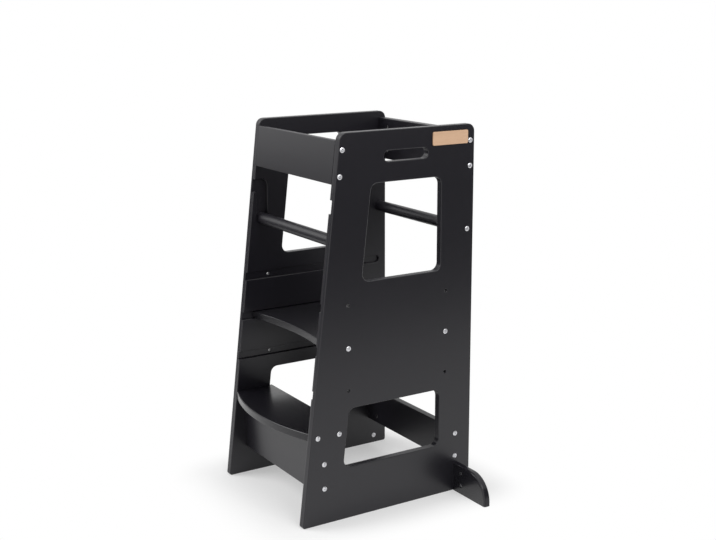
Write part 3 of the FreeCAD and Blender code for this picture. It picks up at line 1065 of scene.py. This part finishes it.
def bore_tree() -> TurnedTree:
    """Makes the tree of cutters for holes: from the mouth down against the way.

    Returns:
        The tree.
    """
    tree = TurnedTree("bores", {
        "Radius": SIZES.hole, "Depth": 0.02, "Eased": 0.0005, "Over": 0.002,
    })
    radius, eased = tree.size("Radius"), tree.size("Eased")
    return tree.finish(tree.turned([
        (-tree.size("Depth"), radius),
        (-eased, radius),
        (eased * -0.3, radius + eased * 0.3),
        (0.0, radius + eased),
        (tree.size("Over"), radius + eased),
    ]))


def rod_tree() -> TurnedTree:
    """Makes the tree of round bars with softened ends, centred on the point.

    Returns:
        The tree.
    """
    tree = TurnedTree("round_bars", {"Length": 0.378, "Radius": 0.014, "Rounding": 0.0015})
    half, radius, rounding = tree.size("Length") / 2, tree.size("Radius"), tree.size("Rounding")
    rims = [
        (rounding * (1 - math.sin(t)), radius - rounding * (1 - math.cos(t)))
        for t in (0.0, math.pi / 4, math.pi / 2)
    ]
    rows = [(-half + rise, wide) for rise, wide in reversed(rims)]
    rows += [(half - rise, wide) for rise, wide in rims]
    return tree.finish(tree.turned(rows, 64))


@dataclass
class Workshop:
    """The finishes and the trees that the sub-assemblies share."""

    finishes: Finishes = field(default_factory=Finishes)
    bolts: TurnedTree = field(default_factory=bolt_tree)
    nuts: TurnedTree = field(default_factory=nut_tree)
    bores: TurnedTree = field(default_factory=bore_tree)
    rods: TurnedTree = field(default_factory=rod_tree)


# ---- side panels -----------------------------------------------------------------------
@dataclass
class SidePanel:
    """A side panel with its windows, hand slot, grooves and bolt holes."""

    shop: Workshop
    side: Side
    corner: float = 0.018
    base_corner: float = 0.006
    front_margin: float = 0.0945
    rear_margin: float = 0.0928
    window_corner: float = 0.018
    windows: tuple[Pair, ...] = ((0.561, 0.783), (0.126, 0.268))
    slot_length: float = 0.120
    slot_height: float = 0.025
    slot_drop: float = 0.059
    slot_set_in: float = 0.191
    groove_half: float = 0.0155
    groove_depth: float = 0.010
    groove_ease: float = 0.0006
    entry_drop: float = 0.163
    seat_drop: float = 0.244
    lip: float = 0.007
    lip_round: float = 0.003
    shaded_tread_groove: float = 0.006
    shaded_tread_play: float = 0.0015
    over: float = 0.004
    through: float = 0.03
    mouth_ease: float = 0.0015
    inner_ease: float = 0.001
    inner_mouth: float = 0.002
    pin_play: float = 0.001
    pin_ease: float = 0.0005

    def outline(self) -> Loop:
        """Draws the panel's outline in YZ.

        Returns:
            The outline.
        """
        return rounded_loop([
            (SIZES.front(0), 0, self.base_corner),
            (SIZES.rear, 0, self.base_corner),
            (SIZES.rear, SIZES.height, self.corner),
            (SIZES.front(SIZES.height), SIZES.height, self.corner),
        ])

    def window(self, sill: float, head: float) -> Loop:
        """Draws a window, its front side along with the leaning edge.

        Args:
            sill: The height of its lower side.
            head: The height of its upper side.

        Returns:
            Its outline.
        """
        rear, round_by = SIZES.rear - self.rear_margin, self.window_corner
        low, high = (SIZES.front(z) + self.front_margin for z in (sill, head))
        corners = [(low, sill), (rear, sill), (rear, head), (high, head)]
        return rounded_loop([(y, z, round_by) for y, z in corners])

    def hand_slot(self) -> Loop:
        """Draws the slot that hands hold.

        Returns:
            Its outline.
        """
        y, z = SIZES.rear - self.slot_set_in, SIZES.height - self.slot_drop
        long, high = self.slot_length / 2, self.slot_height / 2
        return oblong((y - long, y + long), (z - high, z + high), high * NEARLY)

    def rail_groove(self) -> Loop:
        """Draws the J-shaped groove: in from the front edge, then down to its seat.

        Returns:
            Its outline.
        """
        entry, seat = SIZES.height - self.entry_drop, SIZES.height - self.seat_drop
        half = self.groove_half
        low, high = entry - half, entry + half
        front = SIZES.front(low) + self.lip
        rear, outside = front + 2 * half, SIZES.front(low) - BEYOND
        return rounded_loop([
            (outside, low, 0),
            (front, low, self.lip_round),
            (front, seat - half, half * NEARLY),
            (rear, seat - half, half * NEARLY),
            (rear, high, half),
            (outside, high, 0),
        ])

    def shaded_tread_groove_at(self, level: float) -> Loop:
        """Draws a groove for the platform, open at the front.

        Args:
            level: The height of the platform's middle.

        Returns:
            Its outline.
        """
        low = level - SIZES.board / 2
        high = level + SIZES.board / 2 + self.shaded_tread_play
        half = (high - low) / 2
        end, outside = SIZES.rear - SIZES.platform_set_in + half, SIZES.front(low) - BEYOND
        return rounded_loop([
            (outside, low, 0), (end, low, half * NEARLY), (end, high, half * NEARLY),
            (outside, high, 0),
        ])

    def groove_cutter(self, name: str, loop: Loop, depth: float) -> Piece:
        """Makes the cutter of a groove in the right panel's inner face, its mouth eased.

        Args:
            name: The cutter's name.
            loop: The groove's outline.
            depth: The groove's depth.

        Returns:
            The cutter.
        """
        bm, eased = bmesh.new(), self.groove_ease
        rows = [(-eased, -self.over), (-eased, 0.0), (0.0, eased), (0.0, depth)]
        rings = [
            [bm.verts.new((*point, height)) for point in inset_loop(loop, inset)]
            for inset, height in rows
        ]
        bridge(bm, rings)
        fill(bm, rings[:1])
        fill(bm, rings[-1:])
        return as_object(bm, name, placed(X * SIZES.half, Y, Z))

    def bore_cutters(self) -> list[Piece]:
        """Makes the cutters of the bolts' holes, their inner mouths and the foot's pin.

        Returns:
            The cutters.
        """
        bolt, pin = FIXINGS["foot"]
        groups = [FIXINGS[group] for group in FIXINGS if group not in ("platform", "foot")]
        levels = [SIZES.platform(level) for level in SIZES.platform_levels]
        fixings = sum([*groups, [bolt], *levels], [])
        unused = [f for level in levels for f in level if f.z != SIZES.platform_level]
        floor, outer = SIZES.half + self.shaded_tread_groove, SIZES.outer
        mouths = [(f.at(outer), X) for f in fixings]
        inner = [(f.at(floor), -X) for f in unused]
        pin_depth = SIZES.pin_depth + self.pin_play
        return [
            self.shop.bores.set_on(name, spots, radius=SIZES.hole, depth=depth, eased=eased)
            for name, spots, depth, eased in (
                ("bores", mouths, self.through, self.mouth_ease),
                ("inner_mouths", inner, self.inner_mouth, self.inner_ease),
                ("pin_hole", [(pin.at(outer), X)], pin_depth, self.pin_ease),
            )
        ]

    def build(self) -> None:
        """Makes the panel, carves it and puts it on its side."""
        openings = [self.window(sill, head) for sill, head in self.windows] + [self.hand_slot()]
        slab = Slab(self.outline(), SIZES.board, SIZES.soft_rim, openings)
        name = f"panel_{self.side.word}"
        panel = as_object(slab.mesh(), name, placed(X * SIZES.half, Y, Z))
        cutters = [self.groove_cutter("rail_groove", self.rail_groove(), self.groove_depth)]
        for level in SIZES.platform_levels:
            loop = self.shaded_tread_groove_at(level)
            cutters.append(self.groove_cutter("shaded_tread_groove", loop, self.shaded_tread_groove))
        carve(panel, cutters + self.bore_cutters())
        move_to(panel, self.side)
        dress(panel, self.shop.finishes.panel, f"side_{name}")


# ---- boards ----------------------------------------------------------------------------
@dataclass
class Board:
    """A board across the tower, cut square at both ends, with pockets for its nuts."""

    shop: Workshop
    name: str
    node: str
    outline: Loop
    place: Matrix
    finish: Finish
    end: float = SIZES.half

    def build(self) -> None:
        """Makes the board and bores it."""
        bm = Slab(self.outline, SIZES.board, SIZES.soft_rim).mesh()
        for way in (1, -1):
            trim(bm, (way * self.end, 0, 0), (way, 0, 0))
        board = as_object(bm, self.name, self.place)
        cut, fixings = self.shop.bores.set_on, FIXINGS[self.node]
        pockets = nut_spots(fixings, SIZES.half - SIZES.nut_inset, SIZES.board / 2)
        depth = SIZES.bore(SIZES.nut_inset) + self.end - SIZES.half
        carve(board, [
            cut("pockets", pockets, radius=SIZES.pocket, depth=SIZES.pocket_depth),
            cut("end_bores", ends(fixings, self.end), depth=depth, eased=SIZES.hole_ease),
        ])
        dress(board, self.finish, self.node)


@dataclass
class Boards:
    """All boards across the tower."""

    shop: Workshop

    def build(self) -> None:
        """Makes every board."""
        sizes, half, paint = SIZES, SIZES.half, self.shop.finishes.board
        top = sizes.height - sizes.front_guard_drop
        edge = Vector((0, sizes.front(top), top))
        corner = edge - sizes.up_slope * sizes.front_guard_height + sizes.in_slope * sizes.board
        strip, place = self.strip(sizes.front_guard_height), placed(corner, X, sizes.up_slope)
        Board(self.shop, "guard_front", "top_guard_front", strip, place, paint).build()
        top, back = sizes.height - sizes.rear_guard_drop, sizes.rear - sizes.rear_guard_set_in
        apron, cross = sizes.apron_front + sizes.board, sizes.rear - sizes.cross_set_in
        for name, node, rear, low, high in (
            ("guard_rear", "top_guard_rear", back, top - sizes.rear_guard_height, top),
            ("apron", "step_apron", apron, sizes.apron_bottom, sizes.step_top - sizes.board),
            ("cross_rear", "rear_cross_board", cross, *sizes.cross_edges),
        ):
            place = placed(Vector((0, rear, low)), X, Z)
            Board(self.shop, name, node, self.strip(high - low), place, paint).build()
        rear, front = sizes.rear - sizes.platform_set_in, sizes.front(sizes.step_top)
        end, top = half + sizes.platform_overhang, sizes.platform_level + sizes.board / 2
        platform = self.curved(end, rear - sizes.platform_depth, rear, -sizes.platform_hollow)
        step = self.curved(half, front, front + sizes.step_depth, sizes.step_bow)
        for name, node, outline, face, reach in (
            ("standing_board", "platform", platform, top, end),
            ("lower_step", "step", step, sizes.step_top, half),
        ):
            # The platform and step take the darker tread paint, whose colours carry painted shade.
            place, finish = placed(Z * (face - sizes.board), X, Y), self.shop.finishes.shaded_tread
            Board(self.shop, name, node, outline, place, finish, reach).build()

    def strip(self, height: float) -> Loop:
        """Returns the outline of a straight board that is longer than needed."""
        wide = SIZES.half + BEYOND
        return oblong((-wide, wide), (0, height))

    def curved(self, half: float, front: float, rear: float, bow: float) -> Loop:
        """Draws a level board whose front edge is an arc.

        Args:
            half: Half its width.
            front: The Y of its front corners.
            rear: The Y of its rear edge.
            bow: How far the front edge curves out, or in where it is negative.

        Returns:
            The outline, longer than the board at both ends.
        """
        radius, wide = (half**2 + bow**2) / (2 * bow), half + BEYOND
        loop = []
        for step in range(BOW_STEPS + 1):
            x = wide * (2 * step / BOW_STEPS - 1)
            rise = radius - math.copysign(math.sqrt(radius**2 - x**2), radius)
            loop.append(Vector((x, front - bow + rise)))
        return loop + [Vector((wide, rear)), Vector((-wide, rear))]


# ---- rails -----------------------------------------------------------------------------
@dataclass
class Rails:
    """The lift-out front rail and the fixed rear rail."""

    shop: Workshop
    radius: float = 0.014
    square_end: float = 0.0004
    sleeve_end: float = 0.0003
    sleeve_play: float = 0.0002
    over: float = 0.001

    def build(self) -> None:
        """Makes both rails and the sleeves of the rear one."""
        self.safety()
        self.rear()
        self.sleeves()

    def safety(self) -> None:
        """Makes the front rail, which lies in the panels' grooves."""
        low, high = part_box("safety_rail_front")
        rail = self.shop.rods.set_on(
            "rail_front", [((low + high) / 2, X)], length=high.x - low.x, radius=self.radius
        )
        dress(rail, self.shop.finishes.rail, "safety_rail_front", "safety_rail")

    def rear(self) -> None:
        """Makes the rear rail, bored at both ends."""
        cut, fixings = self.shop.bores.set_on, FIXINGS["rear_mid_rail"]
        rail = self.shop.rods.set_on(
            "rail_rear", [(fixings[0].at(0), X)], length=2 * SIZES.half, rounding=self.square_end
        )
        mouths, eased = ends(fixings, SIZES.half), SIZES.hole_ease
        wide, deep = SIZES.sleeve_radius + self.sleeve_play, SIZES.bore(SIZES.sleeve_length)
        carve(rail, [
            cut("sleeve_pockets", mouths, radius=wide, depth=SIZES.sleeve_length, eased=eased),
            cut("sleeve_bores", mouths, depth=deep, eased=eased),
        ])
        dress(rail, self.shop.finishes.rail, "rear_mid_rail")

    def sleeves(self) -> None:
        """Makes the threaded sleeves in the rear rail's ends."""
        fixings, length = FIXINGS["rear_mid_rail"], SIZES.sleeve_length
        sleeves = self.shop.rods.set_on(
            "sleeves", ends(fixings, SIZES.half - length / 2), length=length,
            radius=SIZES.sleeve_radius, rounding=self.sleeve_end,
        )
        mouths, depth = ends(fixings, SIZES.half + self.over), length + 10 * self.over
        cut = self.shop.bores.set_on
        carve(sleeves, [cut("threads", mouths, radius=SIZES.thread, depth=depth)])
        dress(sleeves, self.shop.finishes.nut, "rear_mid_rail_inserts")


# ---- feet ------------------------------------------------------------------------------
@dataclass
class Foot:
    """A foot that reaches out sideways from a panel, its upper edges well rounded."""

    shop: Workshop
    side: Side
    length: float = 0.125
    height: float = 0.0705
    brow: float = 0.062
    rounding: float = 0.005
    spare: float = 0.018

    def build(self) -> None:
        """Makes the foot and bores it for its bolt, pin and nuts."""
        inner, toe, below = SIZES.outer - self.spare, SIZES.outer + self.length, -self.spare
        top = self.height
        outline = rounded_loop([
            (inner, below, 0), (toe, below, 0), (toe, top, self.brow), (inner, top, 0),
        ])
        bm = Slab(outline, SIZES.board, self.rounding).mesh()
        trim(bm, (SIZES.outer, 0, 0), (-1, 0, 0))
        trim(bm, (0, 0, 0), (0, -1, 0))
        place = placed(Y * (SIZES.rear - SIZES.foot_set_in), X, Z)
        foot = as_object(bm, f"outrigger_{self.side.word}", place)
        cut, fixings, inset = self.shop.bores.set_on, FIXINGS["foot"], SIZES.foot_nut_inset
        pockets = nut_spots(fixings, SIZES.outer + inset, SIZES.board / 2)[::2]
        mouths = [(f.at(SIZES.outer), -X) for f in fixings]
        carve(foot, [
            cut("pockets", pockets, radius=SIZES.pocket, depth=SIZES.pocket_depth),
            cut("foot_bores", mouths, depth=SIZES.bore(inset), eased=SIZES.hole_ease),
        ])
        move_to(foot, self.side)
        dress(foot, self.shop.finishes.foot, f"foot_{self.side.word}")


# ---- badge -----------------------------------------------------------------------------
@dataclass
class Badge:
    """The small bare plate of pale wood near the right panel's top rear corner."""

    shop: Workshop
    length: float = 0.0995
    height: float = 0.0315
    thickness: float = 0.003
    corner: float = 0.004
    rounding: float = 0.0007
    set_in: float = 0.0205
    drop: float = 0.013

    def build(self) -> None:
        """Makes the plate."""
        rear, top = SIZES.rear - self.set_in, SIZES.height - self.drop
        outline = oblong((rear - self.length, rear), (top - self.height, top), self.corner)
        bm = Slab(outline, self.thickness, self.rounding).mesh()
        plate = as_object(bm, "badge", placed(X * SIZES.outer, Y, Z))
        dress(plate, self.shop.finishes.badge, "badge_plate")


# ---- fasteners -------------------------------------------------------------------------
@dataclass
class Fasteners:
    """Bolts, barrel nuts and pins, one piece for each CAD group."""

    shop: Workshop
    pin_radius: float = 0.003
    pin_end: float = 0.0004

    def build(self) -> None:
        """Makes every group."""
        for group, fixings in FIXINGS.items():
            if group not in ("rear_mid_rail", "foot"):
                self.bolts(f"{group}_screws", f"{group}_bolts", ends(fixings, SIZES.outer))
                self.nuts(group, nut_spots(fixings, SIZES.half - SIZES.nut_inset))
        spots, inset = ends(FIXINGS["rear_mid_rail"], SIZES.outer), SIZES.sleeve_length
        self.bolts("rear_mid_rail_screws", "rear_mid_rail_bolts", spots, inset)
        for side in Side:
            self.foot(side)

    def bolts(
        self, name: str, node: str, spots: list[Spot], inset: float = SIZES.nut_inset
    ) -> None:
        """Makes bolts through a panel, with their heads' seats at the spots."""
        finish, length = self.shop.finishes.bolt, SIZES.board + inset + SIZES.bolt_tip
        dress(self.shop.bolts.set_on(name, spots, finish, shank_length=length), finish, node)

    def nuts(self, group: str, spots: list[Spot]) -> None:
        """Makes a group's barrel nuts."""
        finish = self.shop.finishes.nut
        dress(self.shop.nuts.set_on(f"{group}_barrels", spots, finish), finish, f"{group}_nuts")

    def foot(self, side: Side) -> None:
        """Makes a foot's bolt, its headless pin and both nuts.

        Args:
            side: The foot's side.
        """
        (bolt, pin), sign, inset = FIXINGS["foot"], side.value, SIZES.foot_nut_inset
        group = f"foot_{side.word}"
        seat = (bolt.at(sign * SIZES.half), X * -sign)
        self.bolts(f"{group}_screw", f"{group}_bolt", [seat], inset)
        self.nuts(group, [(f.at(sign * (SIZES.outer + inset)), f.opening) for f in (bolt, pin)])
        span = SIZES.pin_depth + inset + SIZES.bolt_tip
        middle = pin.at(sign * (SIZES.outer - SIZES.pin_depth + span / 2))
        sizes = {"length": span, "radius": self.pin_radius, "rounding": self.pin_end}
        rod = self.shop.rods.set_on(f"{group}_stud", [(middle, X)], **sizes)
        dress(rod, self.shop.finishes.nut, f"{group}_pin")


# ---- studio ----------------------------------------------------------------------------
@dataclass(frozen=True)
class Card:
    """A standing card that only shows as a reflection: its ends, its height and tone."""

    name: str
    near: Pair
    far: Pair
    top: float
    tone: float


@dataclass(frozen=True)
class Lamp:
    """A large square lamp: its place, the point it faces, its side and its watts."""

    name: str
    place: Triple
    aim: Triple
    size: float
    power: float


@dataclass
class Studio:
    """A pale floor, plain soft light and the camera."""

    eye: Triple = (2.41900, -1.46259, 1.19200)
    azimuth: float = math.radians(58.113)
    elevation: float = math.radians(12.947)
    roll: float = math.radians(-0.251)
    lens: float = 60.27
    sensor: float = 36.0
    view_end: float = 200.0
    floor_reach: float = 60.0
    floor_colour: Colour = (0.94, 0.94, 0.94)
    speckle: float = 0.985
    footprint: Triple = (0.198, 0.240, 1.0)
    fade_reach: float = 0.15
    fade_start: float = 0.38
    ambient: float = 0.40
    cards: tuple[Card, ...] = (
        Card("flag_right", (1.5, -0.2), (1.5, 2.4), 1.0, 0.14),
        Card("flag_left", (-1.9, -0.25), (-0.6, -1.7), 0.8, 0.25),
    )
    lamps: tuple[Lamp, ...] = (
        Lamp("key", (-2.6, -3.4, 3.6), (0, 0, 0.5), 3.0, 150.0),
        Lamp("fill", (3.8, 0.0, 3.0), (0, 0, 0.5), 2.6, 75.0),
        Lamp("top", (0.3, 0.6, 4.2), (0, 0, 0.3), 3.6, 30.0),
    )

    def build(self) -> None:
        """Makes the whole studio."""
        self.camera()
        self.floor()
        self.world()
        for card in self.cards:
            self.stand(card)
        for lamp in self.lamps:
            self.hang(lamp)
        bpy.context.scene.view_settings.view_transform = "Standard"

    def camera(self) -> None:
        """Makes the camera at the measured place."""
        data = bpy.data.cameras.new("camera")
        data.lens, data.sensor_width, data.sensor_fit = self.lens, self.sensor, "HORIZONTAL"
        data.clip_end = self.view_end
        eye = show("camera", data)
        turn, tilt = self.azimuth, self.elevation
        level = Vector((-math.sin(turn), math.cos(turn), 0)) * math.cos(tilt)
        facing = (level - Z * math.sin(tilt)).to_track_quat("-Z", "Y")
        eye.location = self.eye
        eye.rotation_euler = (facing @ Quaternion(Z, self.roll)).to_euler()
        bpy.context.scene.camera = eye

    def plane(self, bench: ShaderBench, corners: list[Sequence[float]]) -> Piece:
        """Makes a flat piece of the studio.

        Args:
            bench: The tree of its material.
            corners: Its four corners.

        Returns:
            The piece, which is no part of the object.
        """
        name = bench.material.name
        mesh = bpy.data.meshes.new(name)
        mesh.from_pydata(corners, [], [(0, 1, 2, 3)])
        mesh.materials.append(bench.material)
        made = show(name, mesh)
        return made

    def floor(self) -> None:
        """Makes the floor, which fades into the plain background far from the tower."""
        bench = ShaderBench("floor")
        beyond = bench.place
        for operation, *others in (
            ("ABSOLUTE",), ("SUBTRACT", self.footprint), ("MAXIMUM", (0, 0, 0))
        ):
            inputs = dict(enumerate([beyond, *others]))
            beyond = bench.node("ShaderNodeVectorMath", {"operation": operation}, inputs)
        reach = bench.node("ShaderNodeVectorMath", {"operation": "LENGTH"}, {0: beyond}, "Value")
        dim = tuple(part * self.speckle for part in self.floor_colour)
        tone = bench.blend(bench.noise(3.0), self.floor_colour, dim)
        fade = bench.between(reach, 0.0, self.fade_reach) * (1 - self.fade_start) + self.fade_start
        bench.output(bench.node("ShaderNodeMixShader", None, {
            0: fade * bench.between(bench.seen(), 0.0, 0.5),
            1: bench.shader("ShaderNodeBsdfDiffuse", Color=tone),
            2: bench.shader("ShaderNodeEmission", Color=(1, 1, 1, 1), Strength=1.0),
        }))
        half = self.floor_reach
        self.plane(bench, [(-half, -half, 0), (half, -half, 0), (half, half, 0), (-half, half, 0)])

    def world(self) -> None:
        """Makes the pale surroundings: white where they are seen, dimmer where they light."""
        world = bpy.data.worlds.new("surroundings")
        bpy.context.scene.world = world
        world.use_nodes = True
        bench = Bench(world.node_tree)
        bench.tree.nodes.clear()
        level = bench.seen() * (1 - self.ambient) + self.ambient
        sky = bench.node("ShaderNodeBackground", None, {"Color": (1, 1, 1, 1), "Strength": level})
        bench.node("ShaderNodeOutputWorld", None, {"Surface": sky})

    def stand(self, card: Card) -> None:
        """Makes a card that only shows as a reflection in the satin paint.

        Args:
            card: The card's corners and tone.
        """
        bench = ShaderBench(card.name)
        bench.output(bench.shader("ShaderNodeBsdfDiffuse", Color=(card.tone,) * 3 + (1,)))
        near, far, top = card.near, card.far, card.top
        made = self.plane(bench, [(*near, 0), (*far, 0), (*far, top), (*near, top)])
        made.visible_camera = made.visible_shadow = made.visible_diffuse = False

    def hang(self, lamp: Lamp) -> None:
        """Makes a large square lamp.

        Args:
            lamp: The lamp's place, size and power.
        """
        data = bpy.data.lights.new(lamp.name, "AREA")
        data.shape, data.size, data.energy = "SQUARE", lamp.size, lamp.power
        made = show(lamp.name, data)
        made.location = lamp.place
        facing = (Vector(lamp.aim) - Vector(lamp.place)).to_track_quat("-Z", "Y")
        made.rotation_euler = facing.to_euler()


def main() -> None:
    """Builds the sub-assemblies in order."""
    logging.basicConfig(level=logging.INFO, format="%(name)s: %(message)s", stream=sys.stdout)
    shop = Workshop()
    for side in Side:
        SidePanel(shop, side).build()
    Boards(shop).build()
    Rails(shop).build()
    for side in Side:
        Foot(shop, side).build()
    Badge(shop).build()
    Fasteners(shop).build()
    Studio().build()


if __name__ == "__main__":
    main()
